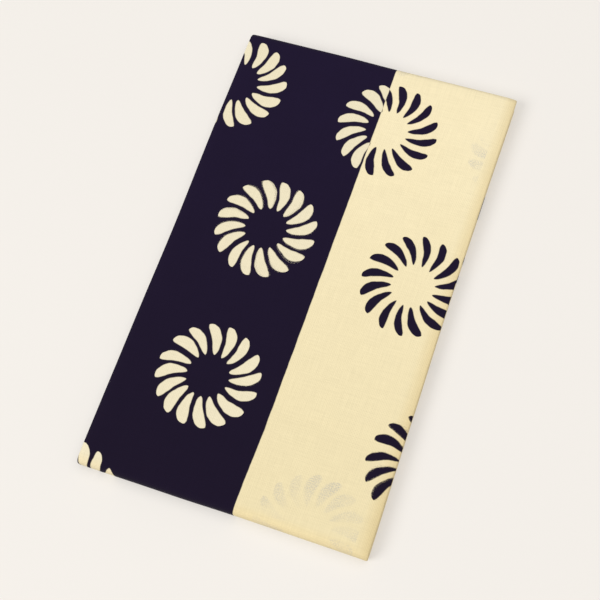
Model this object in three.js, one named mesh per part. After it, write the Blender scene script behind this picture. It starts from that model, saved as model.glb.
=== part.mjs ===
// Folded tenugui towel: one thin cotton cloth, about 320 by 895 mm, with plain cut ends. It is folded in
// three across its width and then turned over and over in five along its length, into a flat pack.
// Millimetres, +Z up. X runs across the pack and Y along it. The origin is under the middle of the pack,
// on the surface that it lies on.
import * as THREE from "three";

// Driving dimensions
const PACK_WIDTH = 109;
const PACK_LENGTH = 182;
const LAYER = 1.2; // the cloth folded in three: three thicknesses that lie close together
const GAP = 0.3; // air between one layer and the next
const FOLD_RADIUS = 2; // the roundest corner of a fold, along the middle of its layer
const FOLD_SLACK = 0.6; // room between an inner fold and the one that wraps it, beyond the gap
const CORE_END_INSET = 8; // from the pack's near edge to the cut end inside it
const LOOSE_END_INSET = 2.5; // from the pack's far edge to the cut end underneath it

// Cloth finish
const CREAM = 0xf4e6bd;
const COTTON_ROUGHNESS = 0.9;

// How finely the cloth is divided
const RUN_STEP = 17.5; // longest straight step along the cloth
const ARC_STEPS = 4; // steps in each quarter turn of a fold
const ACROSS = [-1, -0.985, -0.96, -0.93, -0.65, -0.3, 0, 0.3, 0.6, 0.88, 0.92, 0.955, 0.98, 1];

// The turns of the cloth along its length, from the cut end inside the pack to the one underneath it.
// level counts the layers up from the surface. left and right are how far the turn's sides stand in.
const TURNS = [
  { level: 2, left: 0.9, right: 1.2 },
  { level: 3, left: 0.6, right: 0.9 },
  { level: 1, left: 0.8, right: 0.5 },
  { level: 4, left: 0.0, right: 0.0 },
  { level: 0, left: 0.3, right: 0.4 },
];

// The folds between those turns, in the same order. end is +1 at the pack's far edge and -1 at its near
// one, and inset is how far the outside of the fold stands in from that edge.
const FOLDS = [
  { end: +1, inset: LAYER + GAP + FOLD_SLACK },
  { end: -1, inset: LAYER + GAP + FOLD_SLACK },
  { end: +1, inset: 0 },
  { end: -1, inset: 0 },
];

// How far the pack's long sides stand in, from the near end (-1) to the far end (+1).
const SIDES = [
  { at: -1.0, left: 0.0, right: 0.0 },
  { at: -0.45, left: 0.1, right: 0.4 },
  { at: 0.05, left: 0.5, right: 0.8 },
  { at: 0.5, left: 0.2, right: 0.6 },
  { at: 1.0, left: 0.6, right: 0.2 },
];

// How far the pack's two ends stand in, from the left side (-1) to the right side (+1).
const ENDS = [
  { at: -1.0, near: 0.0, far: 0.0 },
  { at: -0.35, near: 0.2, far: 0.0 },
  { at: 0.2, near: 0.6, far: 0.4 },
  { at: 1.0, near: 0.6, far: 0.6 },
];

// The round shoulders of the pack's long sides, where the folded-in thirds stop short: how far out from
// the middle (0) to the side (1) each one starts, and the share of the pack's height that it drops.
const SHOULDERS = {
  left: { start: 0.93, drop: 0.12 },
  right: { start: 0.88, drop: 0.2 },
};

// How far the pack swells (+) or sinks (-) along its length, as a share of its height.
const HEIGHT_ALONG = [
  { at: -1.0, swell: 0.04 },
  { at: -0.9, swell: 0.06 },
  { at: -0.3, swell: 0.0 },
  { at: 0.1, swell: -0.03 },
  { at: 0.65, swell: 0.0 },
  { at: 0.92, swell: 0.04 },
  { at: 1.0, swell: 0.03 },
];

const HALF_WIDTH = PACK_WIDTH / 2;
const HALF_LENGTH = PACK_LENGTH / 2;
const HALF_LAYER = LAYER / 2;
const QUARTER = Math.PI / 2;
const { clamp, lerp, smoothstep } = THREE.MathUtils;

// The height of the middle of a layer.
const levelHeight = (level) => HALF_LAYER + level * (LAYER + GAP);

// A column of a table at a place between its rows, eased from row to row.
function eased(rows, column, place) {
  const after = 1 + rows.slice(1, -1).filter((row) => row.at < place).length;
  const [low, high] = [rows[after - 1], rows[after]];
  return lerp(low[column], high[column], smoothstep(place, low.at, high.at));
}

// The curves of one fold in the YZ plane: a half circle, or two quarter circles with a straight side.
function foldCurves({ end, inset }, from, to) {
  const up = Math.sign(to - from);
  const radius = Math.min(FOLD_RADIUS, Math.abs(to - from) / 2);
  const y = end * (HALF_LENGTH - inset - HALF_LAYER - radius);
  const outward = end > 0 ? 0 : Math.PI;
  const clockwise = end * up < 0;
  const corner = (z, start, stop) => new THREE.EllipseCurve(y, z, radius, radius, start, stop, clockwise);
  const lower = corner(from + up * radius, -up * QUARTER, outward);
  const upper = corner(to - up * radius, outward, up * QUARTER);
  const side = new THREE.LineCurve(lower.getPoint(1), upper.getPoint(0));
  return side.getLength() < GAP ? [lower, upper] : [lower, side, upper];
}

// The middle line of the cloth in the YZ plane, from the cut end inside the pack to the one underneath,
// as pieces that each know which turn they belong to, and as a fold which height they leave from and go to.
function clothPieces() {
  const pieces = [];
  let start = new THREE.Vector2(CORE_END_INSET - HALF_LENGTH, levelHeight(TURNS[0].level));
  FOLDS.forEach((fold, turn) => {
    const from = levelHeight(TURNS[turn].level);
    const to = levelHeight(TURNS[turn + 1].level);
    const curves = foldCurves(fold, from, to);
    pieces.push({ curve: new THREE.LineCurve(start, curves[0].getPoint(0)), turn });
    pieces.push(...curves.map((curve) => ({ curve, turn, from, to })));
    start = curves.at(-1).getPoint(1);
  });
  const looseEnd = new THREE.Vector2(HALF_LENGTH - LOOSE_END_INSET, start.y);
  pieces.push({ curve: new THREE.LineCurve(start, looseEnd), turn: FOLDS.length });
  return pieces;
}

// Points down the middle line, each with its normal and its place among the turns, such as 2.5 half way
// round the third fold.
function clothStations() {
  const stations = [];
  for (const { curve, turn, from, to } of clothPieces()) {
    const steps = curve.isLineCurve ? Math.ceil(curve.getLength() / RUN_STEP) : ARC_STEPS;
    for (let i = stations.length ? 1 : 0; i <= steps; i++) {
      const { x: y, y: z } = curve.getPoint(i / steps);
      const tangent = curve.getTangent(i / steps);
      const place = from === undefined ? turn : turn + (z - from) / (to - from);
      stations.push({ y, z, normal: { y: -tangent.y, z: tangent.x }, place });
    }
  }
  return stations;
}

// How far one side of the cloth stands in at a station: the pack's own side and that turn's.
function sideInset(side, station) {
  const turn = Math.min(Math.floor(station.place), TURNS.length - 2);
  const own = lerp(TURNS[turn][side], TURNS[turn + 1][side], station.place - turn);
  return own + eased(SIDES, side, station.y / HALF_LENGTH);
}

// The share of its height that the pack drops on a shoulder, along a quarter of an ellipse.
function shoulderDrop({ start, drop }, outward) {
  const reach = clamp((outward - start) / (1 - start), 0, 1);
  return drop * (1 - Math.sqrt(1 - reach ** 2));
}

// A point on one face of the cloth. share runs across it from -1 to +1, and offset is along its normal.
function clothPoint(station, share, offset) {
  const side = share < 0 ? "left" : "right";
  const x = share * (HALF_WIDTH - sideInset(side, station));
  const y = station.y + offset * station.normal.y;
  const z = station.z + offset * station.normal.z;
  const along = y / HALF_LENGTH;
  const endInset = eased(ENDS, y < 0 ? "near" : "far", share) * Math.abs(along) ** 3;
  const drop = shoulderDrop(SHOULDERS[side], Math.abs(x) / HALF_WIDTH);
  const height = 1 + eased(HEIGHT_ALONG, "swell", along) - drop;
  return new THREE.Vector3(x, y - Math.sign(y) * endInset, z * height);
}

// One closed sheet from two grids of points: two faces, two long sides and two ends.
function closedSheet(front, back) {
  const rows = front.length;
  const columns = front[0].length;
  const points = [...front.flat(), ...back.flat()];
  const index = [];
  const quad = (a, b, c, d) => index.push(a, b, c, a, c, d);
  const onFront = (row, column) => row * columns + column;
  const onBack = (row, column) => (rows + row) * columns + column;
  for (let row = 0; row + 1 < rows; row++) {
    for (let column = 0; column + 1 < columns; column++) {
      const corners = [[row, column], [row, column + 1], [row + 1, column + 1], [row + 1, column]];
      quad(...corners.map(([r, c]) => onFront(r, c)));
      quad(...corners.reverse().map(([r, c]) => onBack(r, c)));
    }
    const last = columns - 1;
    quad(onFront(row, 0), onFront(row + 1, 0), onBack(row + 1, 0), onBack(row, 0));
    quad(onFront(row + 1, last), onFront(row, last), onBack(row, last), onBack(row + 1, last));
  }
  for (let column = 0; column + 1 < columns; column++) {
    const last = rows - 1;
    quad(onFront(0, column + 1), onFront(0, column), onBack(0, column), onBack(0, column + 1));
    quad(onFront(last, column), onFront(last, column + 1), onBack(last, column + 1), onBack(last, column));
  }
  const geometry = new THREE.BufferGeometry().setFromPoints(points);
  geometry.setIndex(index);
  geometry.computeVertexNormals();
  return geometry;
}

// The folded towel, as one sheet that runs through all its turns.
function foldedTowel() {
  const stations = clothStations();
  const face = (offset) => stations.map((s) => ACROSS.map((share) => clothPoint(s, share, offset)));
  const cotton = new THREE.MeshStandardMaterial({
    color: CREAM,
    roughness: COTTON_ROUGHNESS,
    metalness: 0,
  });
  const towel = new THREE.Mesh(closedSheet(face(HALF_LAYER), face(-HALF_LAYER)), cotton);
  towel.name = "folded_towel";
  return towel;
}

const pack = new THREE.Group();
pack.add(foldedTowel());
export default pack;
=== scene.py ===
import math

import bpy
import numpy as np
from mathutils import Matrix, Vector


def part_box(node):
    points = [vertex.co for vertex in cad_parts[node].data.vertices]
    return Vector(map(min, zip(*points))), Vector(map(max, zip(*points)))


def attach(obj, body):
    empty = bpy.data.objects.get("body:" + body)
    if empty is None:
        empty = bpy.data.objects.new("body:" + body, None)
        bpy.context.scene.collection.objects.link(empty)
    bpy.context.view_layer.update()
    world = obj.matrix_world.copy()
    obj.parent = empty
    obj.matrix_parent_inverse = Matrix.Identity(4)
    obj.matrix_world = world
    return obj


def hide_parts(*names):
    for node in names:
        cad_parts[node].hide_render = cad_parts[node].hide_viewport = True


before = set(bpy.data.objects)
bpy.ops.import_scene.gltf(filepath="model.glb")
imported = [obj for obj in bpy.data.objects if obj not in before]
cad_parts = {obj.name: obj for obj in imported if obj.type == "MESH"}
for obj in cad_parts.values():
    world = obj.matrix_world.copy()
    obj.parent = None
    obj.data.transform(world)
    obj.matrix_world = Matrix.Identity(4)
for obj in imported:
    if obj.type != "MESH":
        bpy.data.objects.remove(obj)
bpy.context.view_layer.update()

# A folded tenugui towel: one thin cotton cloth, folded in three across its width and turned over and over
# in five along its length. Sizes here are millimetres, and become metres where a mesh is made.
MM = 0.001


def table(columns, *rows):
    """A short table as a list of rows with named columns."""
    return [dict(zip(columns.split(), row)) for row in rows]


# The folded pack, as its solid has it
SOLID_LOW, SOLID_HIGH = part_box("folded_towel")
HALF_WIDTH = round((SOLID_HIGH[0] - SOLID_LOW[0]) / MM, 1) / 2
HALF_LENGTH = round((SOLID_HIGH[1] - SOLID_LOW[1]) / MM, 1) / 2
LAYER = 1.2  # the cloth folded in three
GAP = 0.3  # air between one layer and the next
FOLD_RADIUS = 2  # the roundest corner of a fold
FOLD_SLACK = 0.6  # room between an inner fold and the one that wraps it, beyond the gap
CORE_END_INSET = 8  # from the pack's near edge to the cut end inside it
LOOSE_END_INSET = 2.5  # from the pack's far edge to the cut end underneath it

# The turns from the inside of the pack to its underside: the layer that each is, and how far its sides
# stand in. Then the folds between them, at the far end (+1) or the near one (-1).
TURNS = table(
    "level left right",
    (2, 0.9, 1.2),
    (3, 0.6, 0.9),
    (1, 0.8, 0.5),
    (4, 0.0, 0.0),
    (0, 0.3, 0.4),
)
FOLDS = table(
    "end inset",
    (+1, LAYER + GAP + FOLD_SLACK),
    (-1, LAYER + GAP + FOLD_SLACK),
    (+1, 0),
    (-1, 0),
)
TOP_TURN = 3  # the number of the turn on top of the pack, counted from 0

# How far the pack's long sides stand in along its length, and its ends across its width
SIDES = table(
    "at left right",
    (-1.0, 0.0, 0.0),
    (-0.45, 0.1, 0.4),
    (0.05, 0.5, 0.8),
    (0.5, 0.2, 0.6),
    (1.0, 0.6, 0.2),
)
ENDS = table(
    "at near far",
    (-1.0, 0.0, 0.0),
    (-0.35, 0.2, 0.0),
    (0.2, 0.6, 0.4),
    (1.0, 0.6, 0.6),
)

# The round shoulders of the long sides, and how the pack swells (+) or sinks (-) along its length, as
# shares of its height
SHOULDERS = {"left": {"start": 0.93, "drop": 0.12}, "right": {"start": 0.88, "drop": 0.2}}
HEIGHT_ALONG = table(
    "at swell",
    (-1.0, 0.04),
    (-0.9, 0.06),
    (-0.3, 0.0),
    (0.1, -0.03),
    (0.65, 0.0),
    (0.92, 0.04),
    (1.0, 0.03),
)

# Soft troughs (-) and ridges (+) of the pressed cloth. x and y are the middle of each, heading is the way it
# runs from the X axis in degrees, and rise is its height on top of the pack.
CREASES = table(
    "x y heading length width rise",
    (20, 42, 4, 60, 7, -0.22),
    (-25, 40, -3, 50, 6, -0.14),
    (15, -51, -5, 64, 6, -0.2),
    (-34, -50, 3, 40, 5, -0.14),
    (32, 62, 74, 34, 11, 0.16),
    (44, 20, 88, 70, 9, -0.12),
    (28, -70, 58, 40, 12, 0.16),
    (14, -78, 100, 30, 9, -0.1),
    (-22, 10, 82, 80, 16, -0.14),
    (-30, -74, 20, 42, 13, 0.14),
    (-20, 70, -24, 50, 14, 0.12),
    (40, -84, 8, 34, 6, 0.12),
)

# The single cloth within a layer: the outer third lies over the left flap, and the right flap is innermost
PLY = LAYER / 3
CLOTH = 0.32  # its thickness, which leaves a little air between the plies
LEFT_FLAP_SHORT = 4.5  # from the pack's right side to the left flap's selvedge
RIGHT_FLAP_SHORT = 3.5  # from the pack's left side to the right flap's selvedge

# How finely the cloth is divided: steps along it on top, underneath and within the pack, and the steps in a
# quarter turn of a fold
SHOWN_STEP = 2.2
UNDER_STEP = 4.4
HIDDEN_STEP = 8
ARC_STEPS = 7
SHARP_EDGE = math.radians(50)  # an edge that bends by more is shown sharp


def eased(rows, column, place):
    """A column of a table at places between its rows, eased from row to row."""
    at = np.array([row["at"] for row in rows])
    values = np.array([row[column] for row in rows])
    after = np.clip(np.searchsorted(at, place), 1, len(at) - 1)
    share = np.clip((place - at[after - 1]) / (at[after] - at[after - 1]), 0, 1)
    return values[after - 1] + (values[after] - values[after - 1]) * share**2 * (3 - 2 * share)


def level_height(level):
    """The height of the middle of a layer."""
    return LAYER / 2 + level * (LAYER + GAP)


def arc(centre, radius, start, stop):
    """Points and tangents along an arc, the angles in degrees."""
    steps = round(ARC_STEPS * abs(stop - start) / 90)
    angles = np.radians(np.linspace(start, stop, steps + 1))
    points = np.array(centre) + radius * np.column_stack([np.cos(angles), np.sin(angles)])
    tangents = np.sign(stop - start) * np.column_stack([-np.sin(angles), np.cos(angles)])
    return points, tangents


def line(start, stop, step):
    """Points and tangents along a straight stretch."""
    start, stop = np.array(start, float), np.array(stop, float)
    length = np.linalg.norm(stop - start)
    shares = np.linspace(0, 1, math.ceil(length / step) + 1)[:, None]
    points = start + shares * (stop - start)
    return points, np.repeat([(stop - start) / length], len(points), axis=0)


def joined(pieces):
    """Points, left normals and lengths so far of a run of pieces, each starting where the last one stops."""
    points = np.vstack([pieces[0][0][:1]] + [p[1:] for p, _ in pieces])
    tangents = np.vstack([pieces[0][1][:1]] + [t[1:] for _, t in pieces])
    normals = np.column_stack([-tangents[:, 1], tangents[:, 0]])
    steps = np.linalg.norm(np.diff(points, axis=0), axis=1)
    return points, normals, np.concatenate([[0], np.cumsum(steps)])


def fold_pieces(fold, low, high):
    """One fold in the YZ plane, from one height to another: a half circle, or two quarter circles with a
    straight side."""
    up = np.sign(high - low)
    radius = min(FOLD_RADIUS, abs(high - low) / 2)
    y = fold["end"] * (HALF_LENGTH - fold["inset"] - LAYER / 2 - radius)
    outward = 0 if fold["end"] > 0 else 180
    turning = fold["end"] * up * 90
    first = arc((y, low + up * radius), radius, outward - turning, outward)
    last = arc((y, high - up * radius), radius, outward, outward + turning)
    if abs(high - low) - 2 * radius < GAP:
        return [first, last]
    return [first, line(first[0][-1], last[0][0], SHOWN_STEP), last]


def roll():
    """The cloth's middle line in the YZ plane, from the cut end inside the pack to the one underneath, as
    joined gives it, and each point's place among the turns, such as 2.5 half way round the third fold."""
    pieces = []
    places = []
    start = (CORE_END_INSET - HALF_LENGTH, level_height(TURNS[0]["level"]))
    for turn, fold in enumerate(FOLDS):
        low, high = (level_height(TURNS[t]["level"]) for t in (turn, turn + 1))
        bends = fold_pieces(fold, low, high)
        run = line(start, bends[0][0][0], SHOWN_STEP if turn == TOP_TURN else HIDDEN_STEP)
        pieces += [run, *bends]
        places.append(np.full(len(run[0]), float(turn)))
        places += [turn + (points[:, 1] - low) / (high - low) for points, _ in bends]
        start = bends[-1][0][-1]
    pieces.append(line(start, (HALF_LENGTH - LOOSE_END_INSET, start[1]), UNDER_STEP))
    places.append(np.full(len(pieces[-1][0]), float(len(FOLDS))))
    return *joined(pieces), np.concatenate([places[0][:1]] + [p[1:] for p in places])


def thirds():
    """The cloth's section across its layer, from the left flap's selvedge to the right flap's. Each point is
    its place across and its height outwards from the middle of the layer."""
    left = -HALF_WIDTH + (PLY + CLOTH) / 2
    right = HALF_WIDTH - PLY - CLOTH / 2
    return joined([
        line((HALF_WIDTH - LEFT_FLAP_SHORT, 0), (left, 0), HIDDEN_STEP),
        arc((left, PLY / 2), PLY / 2, 270, 90),
        line((left, PLY), (right, PLY), SHOWN_STEP),
        arc((right, 0), PLY, 90, -90),
        line((right, -PLY), (RIGHT_FLAP_SHORT - HALF_WIDTH, -PLY), HIDDEN_STEP),
    ])


def shoulder_drop(side, outward):
    """The share of its height that the pack drops on a shoulder, along a quarter of an ellipse."""
    start, drop = SHOULDERS[side]["start"], SHOULDERS[side]["drop"]
    reach = np.clip((outward - start) / (1 - start), 0, 1)
    return drop * (1 - np.sqrt(1 - reach**2))


def creasing(x, y):
    """The rise of the creases at places on the pack."""
    rise = np.zeros_like(x)
    for crease in CREASES:
        heading = math.radians(crease["heading"])
        dx, dy = x - crease["x"], y - crease["y"]
        along = (dx * math.cos(heading) + dy * math.sin(heading)) / (crease["length"] / 2)
        across = (dy * math.cos(heading) - dx * math.sin(heading)) / (crease["width"] / 2)
        rise += crease["rise"] * np.exp(-(along**2) - across**2)
    return rise


def warped(x, y, z, place):
    """Points of the straight pack moved to its uneven sides, ends and height."""
    along = y / HALF_LENGTH
    turn = np.clip(np.floor(place).astype(int), 0, len(TURNS) - 2)
    insets = []
    for side in ("left", "right"):
        own = np.array([row[side] for row in TURNS])
        own_inset = own[turn] + (own[turn + 1] - own[turn]) * (place - turn)
        insets.append(own_inset + eased(SIDES, side, along))
    wide = x * (1 - np.where(x < 0, *insets) / HALF_WIDTH)
    ends = np.where(y < 0, eased(ENDS, "near", x / HALF_WIDTH), eased(ENDS, "far", x / HALF_WIDTH))
    outward = np.abs(wide) / HALF_WIDTH
    drop = np.where(x < 0, shoulder_drop("left", outward), shoulder_drop("right", outward))
    height = z * (1 + eased(HEIGHT_ALONG, "swell", along) - drop)
    height = height + creasing(x, y) * (z / level_height(TURNS[TOP_TURN]["level"])) ** 2
    return np.stack([wide, y - np.sign(y) * ends * np.abs(along) ** 3, height], axis=-1)


# A flat layout of the cloth for textures: the pack's top and its underside large, the rest small beside them
LAYOUT = table(
    "part wide_by tall_by left low wide tall",
    ("front", "across", "along", 0.60, 0.69, 0.18, 0.25),
    ("back", "across", "along", 0.80, 0.69, 0.18, 0.25),
    ("left flap's selvedge", "along", "side", 0.02, 0.960, 0.45, 0.008),
    ("right flap's selvedge", "along", "side", 0.52, 0.960, 0.45, 0.008),
    ("inner cut end", "across", "side", 0.02, 0.980, 0.45, 0.008),
    ("outer cut end", "across", "side", 0.52, 0.980, 0.45, 0.008),
    ("top", "across", "along", 0.01, 0.01, 0.56, 0.93),
    ("underside", "across", "along", 0.59, 0.01, 0.39, 0.66),
)
LAYOUT_AXES = table(
    "measure low size",
    ("wide_by", "left", "wide"),
    ("tall_by", "low", "tall"),
)
PARTS = {row["part"]: number for number, row in enumerate(LAYOUT)}


def sheet_quads(columns, rows):
    """The quads of a closed sheet of two grids of points, the front one first, and each quad's part of it:
    the front, the back, a selvedge or a cut end."""
    front = np.arange(columns * rows).reshape(columns, rows)
    back = front + front.size

    def grid(points):
        corners = [points[:-1, :-1], points[:-1, 1:], points[1:, 1:], points[1:, :-1]]
        return np.stack(corners, axis=-1).reshape(-1, 4)

    def rim(upper, lower):
        return np.stack([upper[:-1], upper[1:], lower[1:], lower[:-1]], axis=-1)

    quads = {
        "front": grid(front),
        "back": grid(back)[:, ::-1],
        "left flap's selvedge": rim(back[0], front[0]),
        "right flap's selvedge": rim(front[-1], back[-1]),
        "inner cut end": rim(front[:, 0], back[:, 0]),
        "outer cut end": rim(back[:, -1], front[:, -1]),
    }
    parts = np.repeat([PARTS[name] for name in quads], [len(block) for block in quads.values()])
    return np.vstack(list(quads.values())), parts


def layout_corners(parts, **measures):
    """Each quad corner's place in the flat layout, from the measures that its part is laid out by."""
    corners = np.zeros((len(parts), 4, 2))
    for number, row in enumerate(LAYOUT):
        own = parts == number
        for axis, names in enumerate(LAYOUT_AXES):
            values = measures[row[names["measure"]]][own]
            share = (values - values.min()) / np.ptp(values)
            corners[own, :, axis] = row[names["low"]] + row[names["size"]] * share
    return corners


# The dyed pattern, in places on the cloth: across is X on top of the pack, and along is Y there. Beyond the
# top's edges they run on round the folds. Wide stripes of navy and cream are crossed by twisted
# chrysanthemum rings, which are cream on navy and navy on cream.
STRIPE_START = -77.5  # one edge of a navy stripe
STRIPE_PITCH = 84
STRIPE_SHIFT = table(
    "at shift",
    (-1.0, 1.0),
    (-0.6, 0.2),
    (0.2, 0.0),
    (1.0, -0.2),
)

# The rings on top of the pack, two that show through it, and those that fill the rows between. The turn of
# each is in degrees.
RING_RADIUS = 19.5
RINGS = table(
    "across along turn",
    (-52, 68, 0),
    (11, 64, 12),
    (-20, -47, 4),
    (63, -56, 16),
    (-54, -103, 8),
    (-142, -88, 4),
    (-172, 66, 14),
    (-20, 13, 9),
    (40, 7, 14),
    (-80, -14, 6),
)

# The rings away from the top of the pack stand in staggered rows, a little out of line
RING_PITCH = 61
RING_ROW = 54
RING_STRAY = 4
RING_APART = 52
RING_COLUMNS = range(-4, 6)
RING_SEED = 17

# A ring's petals, in shares of its radius, before their dye spreads. They are slimmer in navy dye than where
# the cloth is left cream.
PETALS = 16
PETAL_ROOT = 0.4  # the inner tips
PETAL_TWIST = math.radians(12)
PETAL_HOOK = 2  # how late along a petal it turns aside
PETAL_HALF_WIDTHS = {"navy": 0.08, "cream": 0.1}
PETAL_SWAY = 0.15  # how far petals lean to one side, as a share of the space between them
PETAL_VARIETY = 0.2  # how much petals differ in width
PETAL_SHAPE = table(
    "reach width",
    (0.0, 0.0),
    (0.1, 0.4),
    (0.4, 0.75),
    (0.75, 1.0),
    (0.95, 0.7),
    (1.0, 0.0),
)

# How softly the dye ends: a petal's edge, one that shows through from beneath, and a stripe's in millimetres
PETAL_EDGE = 0.01
VEILED_EDGE = 0.03
STRIPE_EDGE = 0.16
PETAL_SPREAD = 2  # how much wider a petal's dye spreads, in widths of its soft edge


def ring_places(along):
    """The rings that reach a cloth of this length: those of the table, and rows of them away from the top."""
    rings = [tuple(row.values()) for row in RINGS]
    chance = np.random.default_rng(RING_SEED)
    for row in range(math.floor(along.min() / RING_ROW), math.ceil(along.max() / RING_ROW) + 1):
        for column in RING_COLUMNS:
            x = RING_PITCH * (column + 0.5 * (row % 2)) + chance.uniform(-RING_STRAY, RING_STRAY)
            y = RING_ROW * row + chance.uniform(-RING_STRAY, RING_STRAY)
            turn = chance.uniform(0, 360 / PETALS)
            nearest = min(math.hypot(x - ring[0], y - ring[1]) for ring in rings)
            off_top = math.hypot(max(abs(x) - HALF_WIDTH, 0), max(abs(y) - HALF_LENGTH, 0))
            if nearest > RING_APART and off_top > RING_RADIUS:
                rings.append((x, y, turn))
    return np.array(rings)


def ring_corners(rings, across, along):
    """For each corner of each quad, its place from the middle of the quad's nearest ring, turned with that
    ring and as a share of its radius, and the ring's own number."""
    middle = np.column_stack([across.mean(axis=1), along.mean(axis=1)])
    nearest = np.argmin(np.linalg.norm(middle[:, None] - rings[None, :, :2], axis=2), axis=1)
    x, y, turn = rings[nearest].T[:, :, None]
    dx, dy = (across - x) / RING_RADIUS, (along - y) / RING_RADIUS
    cos, sin = np.cos(np.radians(turn)), np.sin(np.radians(turn))
    number = np.broadcast_to(nearest[:, None], dx.shape)
    return np.stack([dx * cos + dy * sin, dy * cos - dx * sin, number], axis=-1)


def lay_attribute(mesh, name, values, domain):
    """A vector attribute that the material reads by its name."""
    attribute = mesh.attributes.new(name, "FLOAT_VECTOR", domain)
    attribute.data.foreach_set("vector", np.ascontiguousarray(values, dtype=np.float32).ravel())


def sheet_points(path, path_normals, section, section_normals, place):
    """The points of the folded cloth's front face and then of its back, half a thickness either side."""
    sides = []
    for offset in (CLOTH / 2, -CLOTH / 2):
        at = section + offset * section_normals
        x = np.repeat(at[:, :1], len(path), axis=1)
        y, z = (path[None, :, axis] - at[:, 1:] * path_normals[None, :, axis] for axis in (0, 1))
        sides.append(warped(x, y, z, np.broadcast_to(place, x.shape)).reshape(-1, 3))
    return np.vstack(sides)


def lay_pattern(mesh, across, along):
    """Places on the flat cloth, and from the nearest ring on it and on the flap beneath, for the pattern."""
    rings = ring_places(along)
    beneath = -2 * HALF_WIDTH - across
    lay_attribute(mesh, "ring_place", ring_corners(rings, across, along), "CORNER")
    lay_attribute(mesh, "ring_beneath", ring_corners(rings, beneath, along), "CORNER")


def towel_mesh():
    """The cloth as one closed thin sheet through all its folds, and its flat width and length."""
    path, path_normals, run, place = roll()
    section, section_normals, width = thirds()
    columns, rows = len(section), len(path)
    quads, parts = sheet_quads(columns, rows)
    points = sheet_points(path, path_normals, section, section_normals, place)
    mesh = bpy.data.meshes.new("folded_cloth")
    mesh.from_pydata((points * MM).tolist(), [], quads.tolist())

    top = np.flatnonzero(np.isclose(place, TOP_TURN))[::-1]
    outer = np.flatnonzero(np.isclose(section[:, 1], PLY))
    along = np.tile(np.interp(0, path[top, 0], run[top]) - run, 2 * columns)
    across = np.tile(np.repeat(width - np.interp(0, section[outer, 0], width[outer]), rows), 2)
    across = across + eased(STRIPE_SHIFT, "shift", along / HALF_LENGTH)
    lay_attribute(mesh, "cloth_place", np.column_stack([across, along, np.zeros_like(along)]), "POINT")
    lay_pattern(mesh, across[quads], along[quads])

    turn = np.tile(place, 2 * columns)[quads].mean(axis=1)
    on_outer = np.isin(quads // rows % columns, outer).all(axis=1) & (parts == PARTS["front"])
    parts[on_outer & (turn > TOP_TURN - 0.5)] = PARTS["top"]
    parts[on_outer & (turn > TOP_TURN + 0.5)] = PARTS["underside"]
    layout = layout_corners(parts, across=across[quads], along=along[quads], side=quads // (rows * columns))
    mesh.uv_layers.new(name="OFBake").data.foreach_set("uv", layout.astype(np.float32).ravel())

    mesh.validate()
    mesh.polygons.foreach_set("use_smooth", np.ones(len(quads), dtype=bool))
    mesh.set_sharp_from_angle(angle=SHARP_EDGE)
    return mesh, (width[-1], run[-1])


class Graph:
    """The nodes of one material. Each call adds a node and returns what it gives."""

    def __init__(self, material):
        material.use_nodes = True
        self.tree = material.node_tree
        self.tree.nodes.clear()

    def node(self, kind, values=(), **settings):
        """A node of any kind, with a value or another node's output for each socket given."""
        node = self.tree.nodes.new(kind)
        for name, setting in settings.items():
            setattr(node, name, setting)
        for socket, value in values.items() if isinstance(values, dict) else enumerate(values):
            if isinstance(value, bpy.types.NodeSocket):
                self.tree.links.new(value, node.inputs[socket])
            else:
                node.inputs[socket].default_value = value
        return node

    def math(self, operation, *values):
        """One operation on numbers."""
        return self.node("ShaderNodeMath", values, operation=operation).outputs[0]

    def product(self, first, *others):
        """Any number of numbers multiplied."""
        for other in others:
            first = self.math("MULTIPLY", first, other)
        return first

    def vector(self, operation, *values):
        """One operation on vectors."""
        return self.node("ShaderNodeVectorMath", values, operation=operation).outputs[0]

    def mixed(self, share, low, high, blend="MIX"):
        """One colour blended into another by a share."""
        values = {0: share, 6: low, 7: high}
        return self.node("ShaderNodeMix", values, data_type="RGBA", blend_type=blend).outputs[2]

    def ramp(self, value, start, stop, shape="LINEAR"):
        """0 at the start and before it, rising to 1 at the stop and after it."""
        values = (value, start, stop, 0.0, 1.0)
        return self.node("ShaderNodeMapRange", values, interpolation_type=shape).outputs[0]

    def stepped(self, value, edge):
        """0 below zero and 1 above it, soft over the edge."""
        return self.ramp(value, -edge, edge, "SMOOTHSTEP")

    def attribute(self, name):
        """A vector attribute of the mesh."""
        return self.node("ShaderNodeAttribute", attribute_name=name).outputs["Vector"]

    def axes(self, vector):
        """A vector's three numbers."""
        return self.node("ShaderNodeSeparateXYZ", (vector,)).outputs

    def noise(self, vector, scale, detail=2.0):
        """A soft noise, as a number first and then as a colour."""
        values = {"Vector": vector, "Scale": scale, "Detail": detail}
        return self.node("ShaderNodeTexNoise", values).outputs

    def curve(self, value, rows):
        """A smooth curve through the rows of a table of reach and width."""
        node = self.node("ShaderNodeFloatCurve", {"Value": value})
        points = node.mapping.curves[0].points
        for point, row in zip(points, (rows[0], rows[-1])):
            point.location = (row["reach"], row["width"])
        for row in rows[1:-1]:
            points.new(row["reach"], row["width"])
        node.mapping.update()
        return node.outputs[0]


def linear(red, green, blue):
    """A colour as the shader takes it, from the 0 to 255 steps that a screen shows."""
    steps = [c / 255 for c in (red, green, blue)]
    return (*[c / 12.92 if c <= 0.04045 else ((c + 0.055) / 1.055) ** 2.4 for c in steps], 1.0)


def scaled(colour, share):
    """A colour made darker."""
    return (*[share * c for c in colour[:3]], 1.0)


def stripe_dye(graph, across):
    """1 on navy stripes and 0 on cream ones."""
    phase = graph.product(graph.math("SUBTRACT", across, STRIPE_START), math.pi / STRIPE_PITCH)
    distance = graph.product(graph.math("SINE", phase), STRIPE_PITCH / math.pi)
    return graph.stepped(distance, STRIPE_EDGE)


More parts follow.
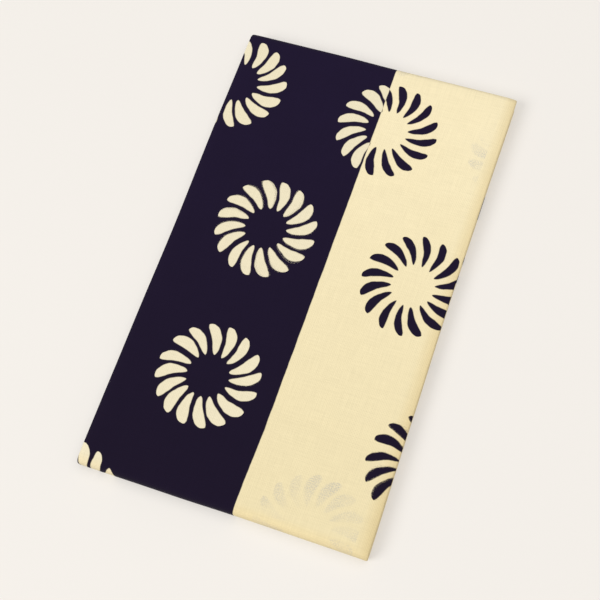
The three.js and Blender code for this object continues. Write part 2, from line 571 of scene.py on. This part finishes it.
def petal_share(graph, ring, ground, edge):
    """1 on the petals of a ring and 0 off them. ground is the dye of the stripe that they lie on."""
    x, y, number = graph.axes(ring)
    radius = graph.math("SQRT", graph.math("ADD", graph.product(x, x), graph.product(y, y)))
    reach = graph.ramp(radius, PETAL_ROOT, 1.0)
    bend = graph.product(graph.math("POWER", reach, PETAL_HOOK), PETAL_TWIST)
    angle = graph.math("SUBTRACT", graph.math("ARCTAN2", y, x), bend)
    sector = graph.product(angle, PETALS / (2 * math.pi))
    nearest = graph.math("ROUND", sector)

    petal = graph.math("FLOORED_MODULO", nearest, PETALS)
    key = graph.math("ADD", graph.product(number, 2 * PETALS), petal)
    chance = graph.node("ShaderNodeTexWhiteNoise", {"W": key}, noise_dimensions="1D").outputs["Value"]
    chance = graph.math("SUBTRACT", chance, CHANCE_MIDDLE)
    aside = graph.math("ADD", graph.math("SUBTRACT", sector, nearest), graph.product(chance, PETAL_SWAY))
    aside = graph.product(graph.math("ABSOLUTE", aside), 2 * math.pi / PETALS, radius)

    slim, full = PETAL_HALF_WIDTHS["navy"], PETAL_HALF_WIDTHS["cream"]
    widest = graph.math("ADD", graph.product(ground, full - slim), slim + PETAL_SPREAD * edge)
    widest = graph.product(widest, graph.math("ADD", graph.product(chance, PETAL_VARIETY), 1.0))
    half = graph.product(graph.curve(reach, PETAL_SHAPE), widest)
    return graph.stepped(graph.math("SUBTRACT", graph.math("SUBTRACT", half, aside), edge), edge)


def dye(graph, across, ring, edge):
    """How much navy dye a place has, and that of the stripe that it lies on. Petals swap the two colours."""
    ground = stripe_dye(graph, across)
    petal = petal_share(graph, ring, ground, edge)
    return graph.math("ADD", graph.math("ADD", ground, petal), graph.product(ground, petal, -2.0)), ground


# The cotton's colours. Painted shade makes the cloth a little darker towards the near end, and painted shade
# makes the right side and the top of the near fold warmer and darker.
CREAM_FAR = linear(244, 231, 194)
# painted shade: a darker copy of the cream for the near end
CREAM_NEAR_SHADED = linear(232, 218, 178)
CREAM_CLOUD = linear(236, 221, 178)
CREAM_PETAL = linear(233, 223, 193)
# painted shade: a warmer, darker cream where the right side and the near fold turn away from the light
CREAM_FOLD_SHADE = linear(226, 198, 132)
NAVY_FAR = linear(29, 20, 47)
# painted shade: a darker copy of the navy for the near end
NAVY_NEAR_SHADED = linear(26, 18, 38)
NAVY_CLOUD = linear(24, 17, 37)
VEIL = linear(125, 140, 170)  # navy on the ply beneath, seen through the cloth
# where the painted shade towards the near end starts, and where it is full
NEAR_SHADE_START = 70
NEAR_SHADE_FULL = -80
# painted shade on the right side's round shoulder and along the top of the near fold, and how strong each is
SIDE_SHADE_SHARE = 0.4
SIDE_SHADE_REACH = 5  # how far in from the right side its painted shade starts
NEAR_FOLD_SHADE_SHARE = 0.25
NEAR_FOLD_SHADE_START = 5  # how far in from the near edge its painted shade starts, and where it is full
NEAR_FOLD_SHADE_FULL = 1
NEAR_FOLD_SHADE_END = 2  # how far down the fold it ends
SHOW_THROUGH = 0.38  # where the veil is strongest

# Its unevenness: how finely each kind is grained, per millimetre, and how strongly it shows
CHANCE_MIDDLE = 0.5  # the middle of what a noise gives
WANDER_GRAIN = 0.22
RING_WANDER = 0.04  # of the petals' edges, in shares of a ring's radius
STRIPE_WANDER = 0.4
CLOUD_GRAIN = 0.05
CREAM_CLOUDS = 0.4
NAVY_CLOUDS = 0.5
SPECKLE_GRAIN = 2.4
SPECKLE_EDGE = 0.3
PATCH_GRAIN = 0.09
PATCH_RANGE = (0.3, 0.7)

# The weave: the spacing of the threads, their grain across and along them, and how much they differ in tone
THREAD = 0.52
THREAD_GRAIN = 2.2
THREAD_RUN = 0.11
THREAD_TONE = 0.15
WEAVE_RISE = 0.5  # of the plain weave, beside the unevenness of its threads
WEAVE_DEPTH = 0.12
WEAVE_STRENGTH = 0.35


def weave(graph, place):
    """The cloth's threads: their unevenness, about 1 in the middle, and the height of the plain weave."""
    x, y, _ = graph.axes(place)
    over_under = [graph.math("SINE", graph.product(axis, math.pi / THREAD)) for axis in (x, y)]
    warp = graph.vector("MULTIPLY", place, (THREAD_GRAIN, THREAD_RUN, 1.0))
    weft = graph.vector("MULTIPLY", place, (THREAD_RUN, THREAD_GRAIN, 1.0))
    threads = graph.math("ADD", *(graph.noise(way, 1.0, detail=3.0)[0] for way in (warp, weft)))
    return threads, graph.math("ADD", graph.product(*over_under, WEAVE_RISE), threads)


def veil_share(graph, place, ground):
    """How much of the left flap's dye shows through a cream stripe that lies on it, in faint patches."""
    x = graph.axes(place)[0]
    beneath = graph.math("SUBTRACT", -2 * HALF_WIDTH, x)
    navy, _ = dye(graph, beneath, graph.attribute("ring_beneath"), VEILED_EDGE)
    speckle = graph.math("SUBTRACT", graph.noise(place, SPECKLE_GRAIN, detail=0.0)[0], CHANCE_MIDDLE)
    patches = graph.ramp(graph.noise(place, PATCH_GRAIN, detail=1.0)[0], *PATCH_RANGE)
    on_flap = graph.math("LESS_THAN", x, HALF_WIDTH - LEFT_FLAP_SHORT)
    shown = graph.math("MAXIMUM", graph.math("SUBTRACT", on_flap, ground), 0.0)
    return graph.product(navy, graph.stepped(speckle, SPECKLE_EDGE), patches, shown, SHOW_THROUGH)


def fold_shade_share(graph, place):
    """How much painted shade a place gets on the pack's right side and along the top of its near fold."""
    x, y, _ = graph.axes(place)
    side = graph.product(graph.ramp(x, HALF_WIDTH - SIDE_SHADE_REACH, HALF_WIDTH), SIDE_SHADE_SHARE)
    onto = graph.ramp(y, NEAR_FOLD_SHADE_START - HALF_LENGTH, NEAR_FOLD_SHADE_FULL - HALF_LENGTH, "SMOOTHSTEP")
    off = graph.ramp(y, -NEAR_FOLD_SHADE_END - HALF_LENGTH, -HALF_LENGTH, "SMOOTHSTEP")
    return graph.math("MAXIMUM", side, graph.product(onto, off, NEAR_FOLD_SHADE_SHARE))


def cotton_colour(graph, place, threads):
    """The dyed cloth's colour, with painted shade towards the near end and at the folds."""
    x, y, _ = graph.axes(place)
    wander = graph.noise(place, WANDER_GRAIN)["Color"]
    wander = graph.vector("SUBTRACT", wander, (CHANCE_MIDDLE, CHANCE_MIDDLE, CHANCE_MIDDLE))
    ring = graph.vector("MULTIPLY", wander, (RING_WANDER, RING_WANDER, 0.0))
    ring = graph.vector("ADD", graph.attribute("ring_place"), ring)
    across = graph.math("ADD", x, graph.product(graph.axes(wander)[0], STRIPE_WANDER))
    navy, ground = dye(graph, across, ring, PETAL_EDGE)
    clouds = graph.noise(place, CLOUD_GRAIN, detail=3.0)[0]
    # painted shade: the cloth grows darker towards the near end
    near_shade = graph.ramp(y, NEAR_SHADE_START, NEAR_SHADE_FULL)

    cream = graph.mixed(near_shade, CREAM_FAR, CREAM_NEAR_SHADED)
    cream = graph.mixed(graph.product(clouds, CREAM_CLOUDS), cream, CREAM_CLOUD)
    cream = graph.mixed(ground, cream, CREAM_PETAL)
    # painted shade on the right side and along the top of the near fold
    cream = graph.mixed(fold_shade_share(graph, place), cream, CREAM_FOLD_SHADE)
    cream = graph.mixed(veil_share(graph, place, ground), cream, VEIL)
    deep = graph.mixed(near_shade, NAVY_FAR, NAVY_NEAR_SHADED)
    deep = graph.mixed(graph.product(clouds, NAVY_CLOUDS), deep, NAVY_CLOUD)
    tone = graph.math("ADD", graph.product(threads, THREAD_TONE), 1 - THREAD_TONE)
    tone = graph.node("ShaderNodeCombineColor", (tone, tone, tone)).outputs[0]
    return graph.mixed(1.0, graph.mixed(navy, cream, deep), tone, "MULTIPLY")


def dyed_cotton():
    """Thin plain-weave cotton, dyed through."""
    material = bpy.data.materials.new("dyed_cotton")
    graph = Graph(material)
    place = graph.attribute("cloth_place")
    threads, height = weave(graph, place)
    bump = {"Strength": WEAVE_STRENGTH, "Distance": WEAVE_DEPTH * MM, "Height": height}
    surface = graph.node("ShaderNodeBsdfPrincipled", {
        "Base Color": cotton_colour(graph, place, threads),
        "Roughness": 0.92,
        "Specular IOR Level": 0.08,
        "Sheen Weight": 0.04,
        "Sheen Roughness": 0.5,
        "Normal": graph.node("ShaderNodeBump", bump).outputs[0],
    })
    graph.node("ShaderNodeOutputMaterial", {"Surface": surface.outputs[0]})
    return material


# The floor, in metres
FLOOR_REACH = 1.5
FLOOR_COLOUR = linear(234, 230, 225)
FLOOR_CLOUD_GRAIN = 6.0
FLOOR_CLOUD = 0.98
FLOOR_GLOW = 0.45  # the share of its brightness that the floor gives off itself
GLOW_STRENGTH = 1.15


def pale_floor():
    """A plain matt floor, with a glow of its own that keeps the shadows on it light."""
    material = bpy.data.materials.new("pale_floor")
    graph = Graph(material)
    clouds = graph.noise(graph.node("ShaderNodeTexCoord").outputs["Object"], FLOOR_CLOUD_GRAIN)[0]
    matt = scaled(FLOOR_COLOUR, 1 - FLOOR_GLOW)
    surface = graph.node("ShaderNodeBsdfPrincipled", {
        "Base Color": graph.mixed(clouds, matt, scaled(matt, FLOOR_CLOUD)),
        "Roughness": 0.8,
        "Specular IOR Level": 0.1,
        "Emission Color": scaled(FLOOR_COLOUR, FLOOR_GLOW),
        "Emission Strength": GLOW_STRENGTH,
    })
    graph.node("ShaderNodeOutputMaterial", {"Surface": surface.outputs[0]})
    return material


def add_object(name, data):
    """An object in the scene that shows a mesh, a light or a camera."""
    made = bpy.data.objects.new(name, data)
    bpy.context.scene.collection.objects.link(made)
    return made


def add_floor():
    """A pale plain surface under the towel."""
    mesh = bpy.data.meshes.new("floor")
    corners = [(x * FLOOR_REACH, y * FLOOR_REACH, 0) for x, y in ((-1, -1), (1, -1), (1, 1), (-1, 1))]
    mesh.from_pydata(corners, [], [(0, 1, 2, 3)])
    mesh.materials.append(pale_floor())
    floor = add_object("floor", mesh)
    return floor


def add_towel(floor):
    """The dyed cloth in place of its solid, resting on the floor."""
    mesh, (width, length) = towel_mesh()
    mesh.materials.append(dyed_cotton())
    towel = add_object("folded_cloth", mesh)
    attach(towel, "root")
    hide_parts("folded_towel")


# Studio light, in metres and watts: a wide soft lamp at the front left, a wider one overhead, and pale light
# from all round
LAMPS = table(
    "name place size power",
    ("front", (-1.2, -1.3, 1.9), 1.6, 41),
    ("overhead", (0.5, 0.4, 2.2), 2.4, 26),
)
LAMP_COLOUR = (1.0, 0.99, 0.97)
ROOM_LIGHT = 0.28


def add_lights():
    """The lamps, turned to the towel, and the room."""
    for row in LAMPS:
        data = bpy.data.lights.new(row["name"], "AREA")
        data.shape = "DISK"
        data.size = row["size"]
        data.energy = row["power"]
        data.color = LAMP_COLOUR
        lamp = add_object(row["name"], data)
        lamp.location = row["place"]
        lamp.rotation_euler = (-Vector(row["place"])).to_track_quat("-Z", "Y").to_euler()
    room = bpy.data.worlds.new("room")
    room.use_nodes = True
    background = room.node_tree.nodes["Background"]
    background.inputs["Color"].default_value = (*LAMP_COLOUR, 1.0)
    background.inputs["Strength"].default_value = ROOM_LIGHT
    bpy.context.scene.world = room


# The photo's view: the place looked at, and the camera's bearing round it, its height over the floor and its
# lean to the right, in degrees
VIEW_CENTRE = Vector((0.4, -8.0, 0.0))
VIEW_BEARING = -51.3
VIEW_HEIGHT = 69.3
VIEW_LEAN = 20.4
VIEW_DISTANCE = 430
LENS = 69.8
SENSOR = 36
NEAREST_SHOWN = 10


def add_camera():
    """The camera at the photo's angle."""
    data = bpy.data.cameras.new("camera")
    data.sensor_fit = "HORIZONTAL"
    data.sensor_width = SENSOR
    data.lens = LENS
    data.clip_start = NEAREST_SHOWN * MM
    camera = add_object("camera", data)
    bearing = Matrix.Rotation(math.radians(VIEW_BEARING + 90), 4, "Z")
    tilt = Matrix.Rotation(math.radians(90 - VIEW_HEIGHT), 4, "X")
    lean = Matrix.Rotation(math.radians(-VIEW_LEAN), 4, "Z")
    back = Matrix.Translation((0, 0, VIEW_DISTANCE * MM))
    camera.matrix_world = Matrix.Translation(VIEW_CENTRE * MM) @ bearing @ tilt @ lean @ back
    bpy.context.scene.camera = camera


add_towel(add_floor())
add_lights()
add_camera()
bpy.context.scene.view_settings.view_transform = "Standard"
